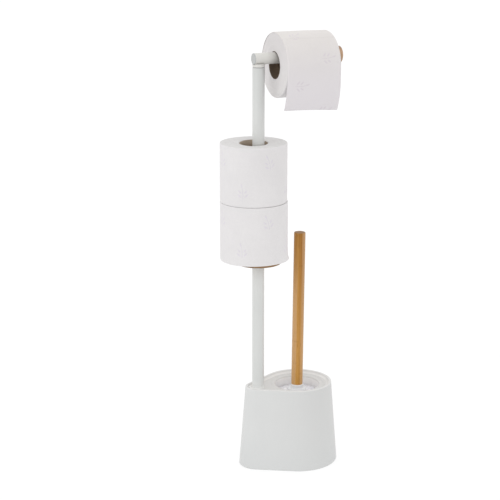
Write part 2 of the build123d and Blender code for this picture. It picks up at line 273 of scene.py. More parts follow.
def powder_coat(name, lo, hi, tint=None):
    """White powder coat on steel tube: orange peel and a soft gloss. tint may shade the colour further."""
    g = Mat(name, IOR=1.5, Coat_Weight=0.12, Coat_Roughness=0.18)
    p = g.coords()
    broad = g.noise(p, 9.0, 2.0, 0.5)
    peel = g.noise(p, 620.0, 2.0, 0.45)
    fine = g.noise(p, 3200.0, 1.0, 0.5)
    color = g.mix(g.smooth(broad, 0.35, 0.65), lo, hi)
    if tint:
        color = tint(g, p, color)
    h = g.math("ADD", peel, g.math("MULTIPLY", fine, 0.25))
    r = g.linear(peel, 0.3, 0.7, 0.33, 0.43)
    return g.done(color, r, g.bump(h, 0.10, 0.00012))


def bamboo(name, grain_axis, strip_dir, strip_w, shift=0.0, coat=0.30, dark=(0.275, 0.100, 0.006), light=(0.535, 0.272, 0.058), drift=None, spec=0.45, ends=None, plies=None):
    """Glued bamboo strips: tone per strip, long fibres, short dark bundles and the odd knuckle line."""
    g = Mat(name, IOR=1.5, Specular_IOR_Level=spec, Coat_Weight=coat, Coat_Roughness=0.28)
    p = g.coords()
    c = g.xyz(p)
    along = c["XYZ".index(grain_axis)]
    across = g.math("ADD", g.math("MULTIPLY", c[strip_dir[0]], strip_dir[2]), g.math("MULTIPLY", c[strip_dir[1]], strip_dir[3]))
    cell = g.math("ADD", g.math("DIVIDE", across, strip_w), shift)
    wob = g.math("MULTIPLY", g.math("SUBTRACT", g.noise(g.scaled(p, (20, 20, 20)), 1.0, 1.0), 0.5), 0.12)
    cell = g.math("ADD", cell, wob)
    idx = g.math("FLOOR", cell)
    tone = g.white(g.math("ADD", g.math("MULTIPLY", idx, 3.17), 11.3))
    # coordinates stretched along the grain
    sc = {"X": (14, 900, 900), "Y": (900, 14, 900), "Z": (900, 900, 14)}[grain_axis]
    fine_sc = {"X": (60, 3300, 3300), "Y": (3300, 60, 3300), "Z": (3300, 3300, 60)}[grain_axis]
    dash_sc = {"X": (85, 1500, 1500), "Y": (1500, 85, 1500), "Z": (1500, 1500, 85)}[grain_axis]
    slow_sc = {"X": (5, 160, 160), "Y": (160, 5, 160), "Z": (160, 160, 5)}[grain_axis]
    fibre = g.noise(g.scaled(p, sc), 1.0, 3.0, 0.55)
    fine = g.noise(g.scaled(p, fine_sc), 1.0, 2.0, 0.5)
    dash = g.noise(g.scaled(p, dash_sc), 1.0, 2.0, 0.6)
    slow = g.noise(g.scaled(p, slow_sc), 1.0, 2.0, 0.5)
    t = g.math("ADD", g.math("MULTIPLY", tone, 0.50), g.math("MULTIPLY", fibre, 0.42))
    t = g.math("ADD", t, g.math("MULTIPLY", g.math("SUBTRACT", fine, 0.5), 0.30))
    t = g.math("ADD", t, g.math("MULTIPLY", g.math("SUBTRACT", slow, 0.5), 0.45))
    if drift:
        t = g.math("ADD", t, g.linear(along, *drift))
    color = g.ramp(t, (0.12, dark), (0.45, tuple((a + b) / 2 for a, b in zip(dark, light))), (0.85, light))
    if plies:
        color = plies(g, c, g.math("MULTIPLY", g.math("SUBTRACT", fibre, 0.5), 0.35), color)
    bundles = g.smooth(dash, 0.60, 0.72)
    color = g.mix(g.math("MULTIPLY", bundles, 0.45), color, tuple(x * 0.55 for x in dark))
    # knuckles: a thin darker line with a paler bloom beside it, at its own height on each strip
    place = g.math("ADD", g.math("DIVIDE", along, 0.190), g.white(g.math("ADD", idx, 51.7)))
    off = g.math("ABSOLUTE", g.math("SUBTRACT", g.math("FRACT", place), 0.5))
    off = g.math("ADD", off, g.math("MULTIPLY", g.math("SUBTRACT", fibre, 0.5), 0.010))
    knuckle = g.smooth(off, 0.004, 0.012, 1.0, 0.0)
    color = g.mix(g.math("MULTIPLY", knuckle, 0.14), color, tuple(x * 0.62 for x in dark))
    # glue lines
    edge = g.math("ABSOLUTE", g.math("SUBTRACT", g.math("FRACT", cell), 0.5))
    glue = g.smooth(edge, 0.470, 0.492)
    color = g.mix(g.math("MULTIPLY", glue, 0.28), color, tuple(x * 0.6 for x in dark))
    # cut ends drink more lacquer and show darker
    nrm = g.xyz(g.node("ShaderNodeNewGeometry").outputs["Normal"])["XYZ".index(grain_axis)]
    end = g.smooth(g.math("ABSOLUTE", nrm), 0.55, 0.9)
    pores = g.noise(p, 2600.0, 2.0, 0.6)
    ends = ends or tuple(x * 0.9 for x in dark)
    endcol = g.mix(g.smooth(pores, 0.42, 0.62), tuple(x * 0.69 for x in ends), ends)
    color = g.mix(g.math("MULTIPLY", end, 0.75), color, endcol)
    h = g.math("SUBTRACT", g.math("ADD", fibre, g.math("MULTIPLY", fine, 0.5)), g.math("ADD", g.math("MULTIPLY", bundles, 0.5), g.math("MULTIPLY", glue, 0.5)))
    r = g.math("ADD", g.linear(fibre, 0.3, 0.7, 0.40, 0.55), g.math("MULTIPLY", end, 0.35))
    return g.done(color, r, g.bump(h, 0.16, 0.00014))


def paler_side_bands(g, c, rag, color):
    """Two paler bands along the stick: one down its left side, strongest low down, and one on its right side."""
    x = g.math("SUBTRACT", c[0], g.linear(c[2], 0.0, 1.0, BRUSH_X - math.sin(LEAN) * LEAN_Z, BRUSH_X + math.sin(LEAN) * (1 - LEAN_Z)))
    f = g.math("ADD", g.math("ADD", g.math("MULTIPLY", x, 96.0), g.math("MULTIPLY", c[1], -40.5)), rag)
    first = g.math("MULTIPLY", g.smooth(f, -0.33, -0.20, 1.0, 0.0), g.smooth(c[2], 0.275, 0.365, 0.44, 0.06))
    second = g.smooth(f, 0.28, 0.68, 0.0, 0.40)
    return g.mix(g.math("ADD", first, second), color, (0.600, 0.395, 0.225))


def sprig_motif(g, u, v):
    """A plain leaf sprig on a wide staggered grid, turned a little differently each time. u, v in metres."""
    du, dv = 0.0880, 0.0470
    row = g.math("FLOOR", g.math("DIVIDE", v, dv))
    odd = g.math("FRACT", g.math("MULTIPLY", row, 0.5))
    uu = g.math("DIVIDE", g.math("ADD", u, g.math("MULTIPLY", odd, du)), du)
    col = g.math("FLOOR", uu)
    a = g.math("MULTIPLY", g.math("SUBTRACT", g.math("FRACT", uu), 0.5), du)
    b = g.math("MULTIPLY", g.math("SUBTRACT", g.math("FRACT", g.math("DIVIDE", v, dv)), 0.5), dv)
    pick = g.white(g.math("ADD", g.math("MULTIPLY", row, 7.31), g.math("MULTIPLY", col, 3.17)))
    turn = g.linear(pick, 0.0, 1.0, -1.0, 0.35)
    cs, sn = g.math("COSINE", turn), g.math("SINE", turn)
    x = g.math("SUBTRACT", g.math("MULTIPLY", a, cs), g.math("MULTIPLY", b, sn))
    y = g.math("ADD", g.math("MULTIPLY", a, sn), g.math("MULTIPLY", b, cs))
    x = g.math("ADD", x, g.math("MULTIPLY", g.math("MULTIPLY", y, y), 9.0))       # the stem bends
    ax = g.math("ABSOLUTE", x)
    out = g.math("MULTIPLY", g.smooth(ax, 0.00025, 0.0007, 1.0, 0.0), g.smooth(g.math("ABSOLUTE", y), 0.0085, 0.0110, 1.0, 0.0))
    for cx, cy, tilt, half, wide in ((0.0058, -0.0042, 0.82, 0.0052, 0.0019), (0.0050, 0.0024, 0.70, 0.0046, 0.0017), (0.0, 0.0122, 0.0, 0.0046, 0.0018)):
        ct, st = math.cos(tilt), math.sin(tilt)
        qx, qy = g.math("SUBTRACT", ax, cx), g.math("SUBTRACT", y, cy)
        along = g.math("ADD", g.math("MULTIPLY", qx, st / half), g.math("MULTIPLY", qy, ct / half))
        across = g.math("SUBTRACT", g.math("MULTIPLY", qx, ct / wide), g.math("MULTIPLY", qy, st / wide))
        d = g.math("SQRT", g.math("ADD", g.math("MULTIPLY", along, along), g.math("MULTIPLY", across, across)))
        out = g.math("MAXIMUM", out, g.smooth(d, 0.40, 1.05, 1.0, 0.0))
    return out


def tissue(name, perforations=(), lo=(0.704, 0.687, 0.691), hi=(0.734, 0.717, 0.719), drift=None):
    """Two-ply tissue seen from its face: crepe, pin emboss, faint tinted sprigs. UV in metres."""
    g = Mat(name, IOR=1.35, Specular_IOR_Level=0.25, Sheen_Weight=0.12, Sheen_Roughness=0.6)
    uv = g.coords("UV")
    c = g.xyz(uv)
    p = g.coords()
    broad = g.noise(p, 22.0, 3.0, 0.5)
    cloud = g.noise(p, 260.0, 3.0, 0.65)
    crepe = g.noise(g.scaled(uv, (2600, 420, 1)), 1.0, 3.0, 0.6)
    pins = g.smooth(g.voronoi(g.scaled(uv, (1, 1, 1), (0, 0, 0.785)), 640.0, 0.0), 0.10, 0.42, 1.0, 0.0)
    motif = sprig_motif(g, c[0], c[1])
    tone = g.math("ADD", g.math("MULTIPLY", broad, 0.6), g.math("MULTIPLY", cloud, 0.4))
    color = g.mix(g.smooth(tone, 0.32, 0.68), lo, hi)
    if drift:
        color = g.mix(g.smooth(c[0], drift[0], drift[1]), color, drift[2])
    color = g.mix(g.math("MULTIPLY", motif, 0.62), color, (lo[0] * 0.935, lo[1] * 0.895, lo[2] * 0.995))
    # Painted shade: the pin dents are painted a little darker.
    color = g.mix(g.math("MULTIPLY", pins, 0.16), color, (lo[0] * 0.88, lo[1] * 0.88, lo[2] * 0.885))
    h = g.math("ADD", g.math("MULTIPLY", crepe, 0.55), g.math("MULTIPLY", pins, -0.45))
    h = g.math("SUBTRACT", h, g.math("MULTIPLY", motif, 0.8))
    for s in perforations:
        line = g.smooth(g.math("ABSOLUTE", g.math("SUBTRACT", c[0], s)), 0.0002, 0.0007, 1.0, 0.0)
        slit = g.smooth(g.math("ABSOLUTE", g.math("SUBTRACT", g.math("FRACT", g.math("DIVIDE", c[1], 0.0034)), 0.5)), 0.30, 0.36, 1.0, 0.0)
        cut = g.math("MULTIPLY", line, slit)
        # Painted shade: the slits of each perforation are painted darker.
        color = g.mix(g.math("MULTIPLY", cut, 0.16), color, (0.42, 0.40, 0.40))
        h = g.math("SUBTRACT", h, cut)
    return g.done(color, 0.93, g.bump(h, 0.55, 0.00040))


def tissue_edge(name, lo=(0.655, 0.642, 0.647), hi=(0.722, 0.709, 0.712), fade=None):
    """The wound edge of a roll: many paper layers. UV.x is the radius in metres."""
    g = Mat(name, IOR=1.35, Specular_IOR_Level=0.2, Sheen_Weight=0.10, Sheen_Roughness=0.6)
    uv = g.coords("UV")
    layers = g.noise(g.scaled(uv, (5200, 26, 1)), 1.0, 2.0, 0.6)
    bands = g.noise(g.scaled(uv, (900, 9, 1)), 1.0, 2.0, 0.5)
    p = g.coords()
    fuzz = g.noise(p, 1800.0, 3.0, 0.7)
    t = g.math("ADD", g.math("MULTIPLY", layers, 0.5), g.math("ADD", g.math("MULTIPLY", bands, 0.3), g.math("MULTIPLY", fuzz, 0.2)))
    color = g.mix(g.smooth(t, 0.30, 0.68), lo, hi)
    if fade:
        color = g.mix(g.linear(g.xyz(p)[2], fade[0], fade[1], 0.0, 0.5), color, fade[2])
    h = g.math("ADD", layers, g.math("MULTIPLY", fuzz, 0.5))
    return g.done(color, 0.95, g.bump(h, 0.5, 0.00020))


def core_board(name, level, ends, share):
    """Grey-brown spiral-wound core board; towards its ends the colour turns to the tone given as ends, painted light in
    the spare rolls' tubes and painted shade in the hanging roll's. UV in metres: x round, y along.
    """
    g = Mat(name, IOR=1.4, Specular_IOR_Level=0.25)
    uv = g.coords("UV")
    c = g.xyz(uv)
    p = g.coords()
    lay = g.math("FRACT", g.math("ADD", g.math("DIVIDE", c[1], 0.062), g.math("DIVIDE", c[0], 0.135)))
    seam = g.smooth(g.math("ABSOLUTE", g.math("SUBTRACT", lay, 0.5)), 0.006, 0.016, 1.0, 0.0)
    fibre = g.noise(g.scaled(uv, (700, 2400, 1), (0, 0, 0.5)), 1.0, 4.0, 0.65)
    cloud = g.noise(p, 130.0, 4.0, 0.6)
    t = g.math("ADD", g.math("MULTIPLY", fibre, 0.5), g.math("MULTIPLY", cloud, 0.5))
    tones = [tuple(x * level for x in c3) for c3 in ((0.150, 0.108, 0.074), (0.235, 0.174, 0.122), (0.305, 0.236, 0.172))]
    color = g.ramp(t, (0.28, tones[0]), (0.52, tones[1]), (0.76, tones[2]))
    color = g.mix(g.math("MULTIPLY", seam, 0.5), color, (0.13, 0.095, 0.068))
    # Painted light and shade: towards the ends of the tube the colour turns to the tone given as ends.
    mid = g.math("ABSOLUTE", g.math("SUBTRACT", c[1], ROLL_L / 2))
    color = g.mix(g.smooth(mid, 0.030, 0.0470, 0.0, share), color, ends)
    h = g.math("SUBTRACT", fibre, g.math("MULTIPLY", seam, 1.5))
    return g.done(color, 0.88, g.bump(h, 0.30, 0.00016))


def nylon_bristle(name):
    """White nylon filament, a little brighter towards its tip, with a faint painted glow. UV.y runs along the filament.
    """
    g = Mat(name, IOR=1.53, Emission_Color=(0.94, 0.93, 1.0, 1.0), Emission_Strength=0.10)     # painted light: a faint glow stands in for light passing through the clear filaments
    c = g.xyz(g.coords("UV"))
    per = g.noise(g.coords(), 420.0, 2.0, 0.6)
    base = g.mix(g.smooth(per, 0.3, 0.7), (0.930, 0.925, 0.945), (0.965, 0.960, 0.975))
    color = g.mix(g.smooth(c[1], 0.0, 0.55), (0.900, 0.895, 0.915), base)
    return g.done(color, g.linear(per, 0.3, 0.7, 0.36, 0.48))


def turned_steel(name, tone=0.56):
    g = Mat(name, Metallic=1.0)
    p = g.coords()
    lines = g.noise(g.scaled(p, (60, 60, 5200)), 1.0, 2.0, 0.6)
    spots = g.noise(p, 300.0, 3.0, 0.6)
    color = g.mix(g.smooth(spots, 0.35, 0.7), (tone * 0.86, tone * 0.86, tone * 0.88), (tone, tone, tone * 1.01))
    return g.done(color, g.linear(lines, 0.3, 0.7, 0.26, 0.42), g.bump(lines, 0.12, 0.00008))


def foot_rubber(name):
    g = Mat(name, IOR=1.5, Specular_IOR_Level=0.35)
    p = g.coords()
    dust = g.noise(p, 160.0, 4.0, 0.65)
    grit = g.noise(p, 2200.0, 2.0, 0.6)
    color = g.mix(g.smooth(dust, 0.45, 0.75), (0.020, 0.020, 0.021), (0.060, 0.059, 0.058))
    return g.done(color, g.linear(dust, 0.3, 0.7, 0.70, 0.88), g.bump(grit, 0.3, 0.00012))


def cast_cement(name):
    g = Mat(name, IOR=1.5, Specular_IOR_Level=0.3)
    p = g.coords()
    a = g.noise(p, 40.0, 5.0, 0.6)
    pits = g.smooth(g.voronoi(p, 330.0, 1.0), 0.05, 0.22, 1.0, 0.0)
    color = g.ramp(a, (0.3, (0.225, 0.22, 0.21)), (0.7, (0.36, 0.352, 0.335)))
    # Painted shade: the pits are painted darker.
    color = g.mix(g.math("MULTIPLY", pits, 0.5), color, (0.13, 0.128, 0.122))
    return g.done(color, 0.9, g.bump(g.math("SUBTRACT", a, pits), 0.5, 0.0006))


M_BASE = moulded_plastic("base_plastic", (0.608, 0.614, 0.609), (0.634, 0.640, 0.634), 0.44, 0.10, 0.0, painted_light_and_shade_dish)
M_CUP = moulded_plastic("cup_plastic", (0.598, 0.602, 0.598), (0.622, 0.626, 0.622), 0.40, 0.08, 0.0, painted_light_cup_inside)
M_COVER = moulded_plastic("cover_plastic", (0.58, 0.58, 0.575), (0.63, 0.63, 0.625), 0.55, 0.22)
# Painted shade: the plug is painted darker for the shade on its end face.
M_PLUG_PAINTED_SHADE = moulded_plastic("plug_plastic", (0.430, 0.440, 0.434), (0.460, 0.470, 0.463), 0.40, 0.08)
M_HEAD = moulded_plastic("head_plastic", (0.700, 0.703, 0.718), (0.735, 0.738, 0.752), 0.30, 0.05, 0.1)
M_NYLON = moulded_plastic("bush_nylon", (0.32, 0.32, 0.315), (0.38, 0.38, 0.375), 0.5, 0.10)
M_PAINT = powder_coat("post_paint", (0.582, 0.591, 0.579), (0.610, 0.619, 0.607), painted_light_near_rolls)
# Painted light: the arm's coat is a lighter, warmer copy of the posts' coat, for the light on it.
M_ARM_PAINTED_LIGHT = powder_coat("arm_paint_painted_light", (0.655, 0.645, 0.615), (0.685, 0.675, 0.645), painted_shade_beside_roll)
M_HANDLE = bamboo("bamboo_handle", "Z", (0, 1, 0.90, 0.44), 0.0056, 0.35, 0.0, (0.272, 0.099, 0.005), (0.545, 0.278, 0.060), (0.14, 0.40, 0.10, -0.20), 0.35, (0.310, 0.205, 0.130), paler_side_bands)
# Painted shade: the shelf's bamboo tones are darkened for the shade under the lower roll.
M_SHELF_PAINTED_SHADE = bamboo("bamboo_shelf_painted_shade", "X", (1, 2, 1.0, 0.0), 0.0090, 0.5, 0.15, (0.170, 0.080, 0.022), (0.370, 0.225, 0.105), None, 0.30)
M_STOP = bamboo("bamboo_stop", "Z", (1, 0, 1.0, 0.0), 0.0070, 0.2, 0.60, (0.350, 0.190, 0.100), (0.600, 0.412, 0.250))
M_SIDE = tissue("tissue_side")
M_EDGE = tissue_edge("tissue_edge", (0.628, 0.617, 0.612), (0.694, 0.683, 0.676))
# Painted light: the hanging roll's wound edge is a paler copy of the spare rolls', for the light on its end face; it
# turns darker towards the top.
M_EDGE_HUNG_PAINTED_LIGHT = tissue_edge("tissue_edge_hung_painted_light", (0.700, 0.676, 0.674), (0.764, 0.740, 0.738), (0.640, 0.720, (0.580, 0.555, 0.555)))
# Painted light: the spare rolls' tubes are paler towards their ends, lighting their bores.
M_BOARD = core_board("core_board", 1.15, (0.450, 0.370, 0.294), 0.92)
# Painted shade: the hanging roll's tube is much darker towards its ends, for the shade in its bore.
M_BOARD_HUNG_PAINTED_SHADE = core_board("core_board_hung_painted_shade", 1.15, (0.105, 0.077, 0.056), 0.85)
M_BRISTLE_PAINTED_GLOW = nylon_bristle("bristle_nylon_painted_glow")
M_STEEL = turned_steel("turned_steel")
M_RUBBER = foot_rubber("foot_rubber")
M_CEMENT = cast_cement("cast_cement")

for node, mat in {
    "base_shell": M_BASE, "drip_cup": M_CUP, "base_cover": M_COVER, "cover_screws": M_STEEL,
    "rubber_feet": M_RUBBER, "ballast_block": M_CEMENT, "lower_post": M_PAINT, "upper_post": M_PAINT,
    "post_inserts": M_STEEL, "anchor_bolt": M_STEEL, "anchor_washer": M_STEEL, "joiner_stud": M_STEEL,
    "roll_shelf": M_SHELF_PAINTED_SHADE, "swivel_bush": M_NYLON, "arm_tube": M_ARM_PAINTED_LIGHT, "pivot_pin": M_STEEL,
    "arm_end_plug": M_PLUG_PAINTED_SHADE, "end_stop": M_STOP, "end_stop_insert": M_NYLON, "end_stop_stud": M_STEEL,
    "brush_handle": M_HANDLE, "handle_stud": M_STEEL, "brush_head_core": M_HEAD,
}.items():
    o = NODES[node]
    o.data.materials.clear()
    o.data.materials.append(mat)


# ------------------------------------------------------------------ mesh helper
def mesh_piece(name, verts, faces, mats, index=None, uvs=None):
    """A smooth mesh object. uvs is one (u, v) per face corner, in face order."""
    me = bpy.data.meshes.new(name)
    me.from_pydata([tuple(v) for v in verts], [], [tuple(f) for f in faces])
    for m in mats:
        me.materials.append(m)
    if index is not None:
        me.polygons.foreach_set("material_index", np.asarray(index, np.int32))
    me.polygons.foreach_set("use_smooth", np.ones(len(me.polygons), bool))
    if uvs is not None:
        layer = me.uv_layers.new(name="UVMap")
        layer.data.foreach_set("uv", np.asarray(uvs, np.float32).ravel())
    me.validate()
    me.update()
    o = bpy.data.objects.new(name, me)
    bpy.context.scene.collection.objects.link(o)
    return o


def lattice(rows, cols, wrap):
    """Quad faces of a rows x cols grid; wrap joins the last column to the first."""
    out = []
    n = cols if wrap else cols - 1
    for i in range(rows - 1):
        a, b = i * cols, (i + 1) * cols
        for j in range(n):
            k = (j + 1) % cols
            out.append((a + j, a + k, b + k, b + j))
    return out


def waves(rng, count, amp, top):
    """A smooth periodic function of an angle, from a few random harmonics."""
    terms = [(k, rng.uniform(-1, 1) * amp / k ** 0.5, rng.uniform(0, 6.283)) for k in rng.sample(range(1, top), count)]
    return lambda t: sum(a * np.sin(k * t + ph) for k, a, ph in terms)


# ------------------------------------------------------------------ rolls
FAR = 1.17      # the side of the upper spare roll on which its layers stand proud round the bore


def make_roll(name, radius, length, seed, place, step_at, corner=(0.0010, 0.0010), inset=0.0, flare=None, shape=None, level=(1.0, 1.0), dish=0.0, sag=0.0, edge=M_EDGE, mouth=0.0, skew=0.0, lift=0.0):
    """Wound paper: a slightly uneven side with the free edge of the outer sheet, soft corners, and end faces of stepped layers."""
    rng = random.Random(seed)
    n = 224
    th = np.linspace(0, 2 * np.pi, n, endpoint=False)
    ri = CORE_RI + CORE_T
    spiral = 0.00015 - 0.00030 * (((th - step_at) / (2 * np.pi)) % 1.0)   # the outer sheet ends at step_at
    side_r = radius + spiral + waves(rng, 4, 0.00010, 9)(th) - inset
    shape = shape or (lambda z: 0.0)
    out = (lambda z: flare(th) * math.exp(-z / 0.0050)) if flare else (lambda z: 0.0)
    rings, kinds = [], []
    hang = sag - lift * (0.5 + 0.5 * np.cos(th + 1.3)) ** 3

    def ring(r, z, kind):
        z = z + np.zeros(n)
        z = z - hang * np.clip((r - 0.040) / (radius - 0.042), 0, 1) * np.exp(-z / 0.010)     # layers past the disc's edge hang a little
        rings.append(np.stack([r * np.cos(th), r * np.sin(th), z], 1))
        kinds.append(kind)

    def face(z0, sign, rim, even):
        """Stepped layers from the bore outward; sign is +1 for the lower face (inward is up)."""
        count = 40
        edges = np.linspace(ri + (mouth if sign < 0 else 0.0), rim, count + 1)
        sunk = dish - skew * np.cos(th - FAR) if sign < 0 else 0.0
        steps = []
        drift = waves(rng, 3, 0.00010, 6)(th)
        for k in range(count):
            share = k / (count - 1)
            h = 0.00010 + 0.00024 * rng.random() + 0.00030 * share ** 6 * rng.random()
            wob = waves(rng, 3, 0.00005, 14)(th)
            z = z0 + sign * (np.clip((h + wob + drift + 0.0001) * even, 0.00003, 0.0012) + sunk * (1 - share) ** 1.6)
            rr = waves(rng, 2, 0.00006, 8)(th)
            steps.append((edges[k] + (rr if k else 0), z))
            steps.append((edges[k + 1] - 0.00016 + rr * 0.5, z))
        return steps

    lo, hi = corner
    low_wave, top_wave = np.abs(waves(rng, 3, 0.00012, 10)(th)), np.abs(waves(rng, 3, 0.00012, 10)(th))
    for r, z in face(0.0, +1, radius - lo * 1.05 + shape(0.0), level[0]):
        ring(r, z, 1)
    for k in range(1, 7):
        a = math.radians(90.0 * k / 7)
        z = lo * (1 - math.cos(a))
        ring(side_r - lo * (1 - math.sin(a)) + shape(z) + out(z), z + (low_wave * math.cos(a) + 0.00012) * level[0], 1 if k < 3 else 0)
    m = 36
    for i in range(m):
        z = lo + 0.0004 + (length - lo - hi - 0.0008) * i / (m - 1)
        wave = 0.00008 * math.sin(i * 0.9 + seed) + 0.00005 * math.sin(i * 2.3)
        ring(side_r + wave * np.cos(3 * th + i * 0.31) + shape(z) + out(z), z, 0)
    for k in range(6, 0, -1):
        a = math.radians(90.0 * k / 7)
        z = hi * (1 - math.cos(a))
        ring(side_r - hi * (1 - math.sin(a)) + shape(length - z), length - z - (top_wave * math.cos(a) + 0.00012) * level[1], 1 if k < 3 else 0)
    for r, z in reversed(face(length, -1, radius - hi * 1.05 + shape(length), level[1])):
        ring(r, z, 1)

    rows = len(rings)
    verts = np.concatenate(rings)
    faces = lattice(rows, n, True)
    index, uvs = [], []
    for i in range(rows - 1):
        side = kinds[i] == 0 and kinds[i + 1] == 0
        za, zb = rings[i][0][2], rings[i + 1][0][2]
        ra, rb = math.hypot(*rings[i][0][:2]), math.hypot(*rings[i + 1][0][:2])
        for j in range(n):
            a0, a1 = 2 * math.pi * j / n, 2 * math.pi * (j + 1) / n
            index.append(0 if side else 1)
            if side:
                uvs += [(a0 * radius, za), (a1 * radius, za), (a1 * radius, zb), (a0 * radius, zb)]
            else:
                uvs += [(ra, a0), (ra, a1), (rb, a1), (rb, a0)]
    last = (rows - 1) * n          # the bore, hidden behind the core
    for j in range(n):
        k = (j + 1) % n
        faces.append((last + j, last + k, k, j))
        index.append(1)
        uvs += [(0, 0), (0, 0.01), (0.01, 0.01), (0.01, 0)]
    o = mesh_piece(name, verts, faces, [M_SIDE, edge], index, uvs)
    o.data.transform(place)
    return o


def make_core(name, length, seed, place, mat, recess=0.0, mouth=0.0, skew=0.0):
    """Spiral-wound tube with slightly fuzzy cut ends, standing a little proud or shy of the paper."""
    rng = random.Random(seed)
    n = 128
    th = np.linspace(0, 2 * np.pi, n, endpoint=False)
    oval = waves(rng, 2, 0.00010, 4)(th) * 0.8
    lo = 0.00018 + np.abs(waves(rng, 4, 0.00007, 20)(th))
    hi = length - 0.00018 - recess + skew * np.cos(th - FAR) - np.abs(waves(rng, 4, 0.00007, 20)(th))
    outer, inner = CORE_RI + CORE_T - 0.00003, CORE_RI
    wide = lambda z: mouth * np.exp(-(length - z) / 0.008)
    rings = []
    zs = [lo + 0.0003] + [np.full(n, length * f) for f in np.linspace(0.04, 0.93, 13)] + [hi - 0.0003]
    for z in zs:
        rings.append((inner + oval * 0.3 + 0.00003 + wide(z), z))
    rings += [(inner + 0.00014 + wide(hi - 0.0003), hi), (outer - 0.00014 + wide(hi - 0.0003), hi)]
    for z in reversed(zs):
        rings.append((outer + wide(z), z))
    rings += [(outer - 0.00014, lo), (inner + 0.00014, lo)]
    rings.append(rings[0])
    verts = np.concatenate([np.stack([r * np.cos(th), r * np.sin(th), z * np.ones(n)], 1) for r, z in rings[:-1]])
    rows = len(rings) - 1
    faces = lattice(rows, n, True)
    last = (rows - 1) * n
    faces += [(last + j, last + (j + 1) % n, (j + 1) % n, j) for j in range(n)]
    uvs = []
    for i in range(rows):
        za, zb = float(np.mean(rings[i][1])), float(np.mean(rings[i + 1][1]))
        for j in range(n):
            a0, a1 = inner * 2 * math.pi * j / n, inner * 2 * math.pi * (j + 1) / n
            uvs += [(a0, za), (a1, za), (a1, zb), (a0, zb)]
    faces = [f[::-1] for f in faces]
    uvs = [uvs[4 * i + k] for i in range(len(faces)) for k in (3, 2, 1, 0)]
    o = mesh_piece(name, verts, faces, [mat], None, uvs)
    o.data.transform(place)
    return o


def loose_rim(th):
    """The outer layers of the lower roll hang over the disc and spread on one side."""
    d = (th + 0.40 + math.pi) % (2 * math.pi) - math.pi
    return 0.0026 * np.clip(np.cos(d * 0.85), 0, 1) ** 3 * (np.abs(d) < 1.8)


for label, seed, turn in (("lower", 3, 1.9), ("upper", 8, 0.6)):
    roll_r, roll_x, roll_y, z0 = SPARE[label]
    place = Matrix.Translation((roll_x, roll_y, z0))
    if label == "lower":
        paper = make_roll("lower_roll_tissue", roll_r, ROLL_L, seed, place, turn, (0.0010, 0.0013), 0.0, loose_rim, None, (1.0, 0.25), 0.0, 0.0007, lift=0.0012)
    else:
        paper = make_roll("upper_roll_tissue", roll_r, ROLL_L, seed, place, turn, (0.0013, 0.0016), 0.0, None, None, (0.25, 1.0), 0.0007, mouth=0.0014, skew=0.0012)
    core = make_core(f"{label}_roll_tube", ROLL_L, seed + 40, place, M_BOARD, *((0.0, 0.0, 0.0) if label == "lower" else (0.00190, 0.0014, 0.00190)))
    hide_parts(f"{label}_roll_paper")
    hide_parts(f"{label}_roll_core")
    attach(paper, f"{label}_spare_roll")
    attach(core, f"{label}_spare_roll")


def ease(t):
    t = min(1.0, max(0.0, t))
    return t * t * (3 - 2 * t)


def softened(x):
    """The hanging roll is a little slacker towards its far end."""
    return -0.0008 * ease((x - 0.070) / 0.050)


WOUND_X0, WOUND_X1 = 0.02755, 0.12315
place = Matrix.Translation((WOUND_X0, 0, HANG_Z)) @ Matrix.Rotation(math.radians(90), 4, "Y")
paper = make_roll("hanging_roll_tissue", HANG_R, WOUND_X1 - WOUND_X0, 21, place, 2.6, (0.0026, 0.0052), 0.0002, None, lambda z: softened(WOUND_X0 + z), edge=M_EDGE_HUNG_PAINTED_LIGHT)
core = make_core("hanging_roll_tube", WOUND_X1 - WOUND_X0, 61, place, M_BOARD_HUNG_PAINTED_SHADE)
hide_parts("hanging_roll_paper")
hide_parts("hanging_roll_core")
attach(paper, "hanging_roll")
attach(core, "hanging_roll")


